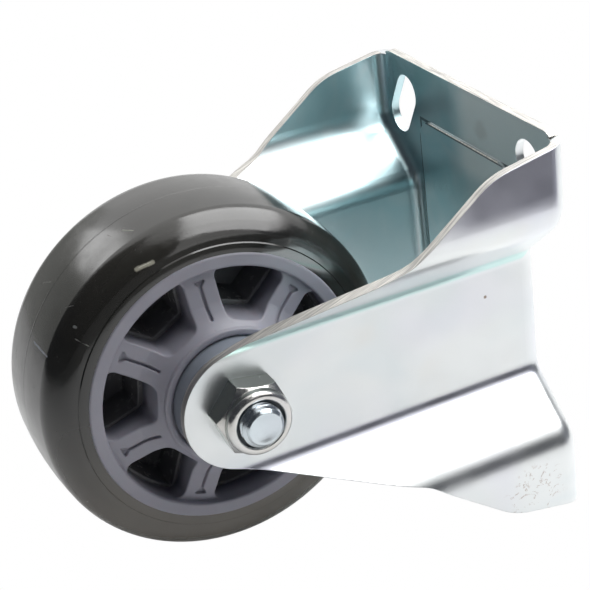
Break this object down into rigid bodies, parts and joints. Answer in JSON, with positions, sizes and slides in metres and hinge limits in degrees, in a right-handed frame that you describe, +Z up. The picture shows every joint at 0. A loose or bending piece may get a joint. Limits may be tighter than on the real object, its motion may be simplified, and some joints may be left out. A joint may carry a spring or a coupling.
{
  "type": "fixed castor",
  "caption": "Fixed plate castor: pressed zinc-plated fork with slotted mounting plate and a grey tyred wheel turning on a bolted axle.",
  "frame": {"origin": "middle of the mounting plate's top face, on the plane that meets the furniture", "axes": "+Z up, out of the plate's top face; Y along the axle, with the lock nut on the -Y side; X along the rolling direction"},
  "size_m": [0.1142, 0.1008, 0.1429],
  "materials": {
    "zinc_sheet": "bright zinc plating, satin",
    "tyre": "glossy dark grey polyurethane",
    "core_plastic": "light purple-grey moulded plastic, satin",
    "inner_plastic": "dark grey moulded plastic",
    "guard_plastic": "blue-grey moulded plastic",
    "zinc_bolt": "bright zinc plating",
    "zinc_nut": "warm bright zinc plating",
    "insert_nylon": "translucent nylon",
    "cage_steel": "pressed steel",
    "bearing_steel": "ground bearing steel"
  },
  "bodies": {
    "fork": {"axle_bolt": "zinc_bolt", "bracket": "zinc_sheet", "inner_race_far": "bearing_steel", "inner_race_near": "bearing_steel", "lock_nut": "zinc_nut", "nut_insert": "insert_nylon", "side_bush_far": "bearing_steel", "side_bush_near": "bearing_steel", "spacer_tube": "bearing_steel", "thread_guard_far": "guard_plastic", "thread_guard_near": "guard_plastic"},
    "wheel": {"inner_core": "inner_plastic", "outer_race_far": "bearing_steel", "outer_race_near": "bearing_steel", "shield_in_far": "bearing_steel", "shield_in_near": "bearing_steel", "shield_out_far": "bearing_steel", "shield_out_near": "bearing_steel", "tyre": "tyre", "wheel_core": "core_plastic"},
    "ball_set_near": {"ball_cage_near": "cage_steel", "ball_near_1": "bearing_steel", "ball_near_2": "bearing_steel", "ball_near_3": "bearing_steel", "ball_near_4": "bearing_steel", "ball_near_5": "bearing_steel", "ball_near_6": "bearing_steel", "ball_near_7": "bearing_steel"},
    "ball_set_far": {"ball_cage_far": "cage_steel", "ball_far_1": "bearing_steel", "ball_far_2": "bearing_steel", "ball_far_3": "bearing_steel", "ball_far_4": "bearing_steel", "ball_far_5": "bearing_steel", "ball_far_6": "bearing_steel", "ball_far_7": "bearing_steel"}
  },
  "joints": [
    {"name": "wheel_spin", "type": "hinge", "parent": "fork", "child": "wheel", "pos_m": [0, 0, -0.0921], "axis": [0, 1, 0], "continuous": true},
    {"name": "ball_set_near_spin", "type": "hinge", "parent": "fork", "child": "ball_set_near", "pos_m": [0, 0, -0.0921], "axis": [0, 1, 0], "continuous": true},
    {"name": "ball_set_far_spin", "type": "hinge", "parent": "fork", "child": "ball_set_far", "pos_m": [0, 0, -0.0921], "axis": [0, 1, 0], "continuous": true}
  ],
  "couplings": [
    {"joint": "ball_set_near_spin", "follows": "wheel_spin", "ratio": 0.635},
    {"joint": "ball_set_far_spin", "follows": "wheel_spin", "ratio": 0.635}
  ]
}
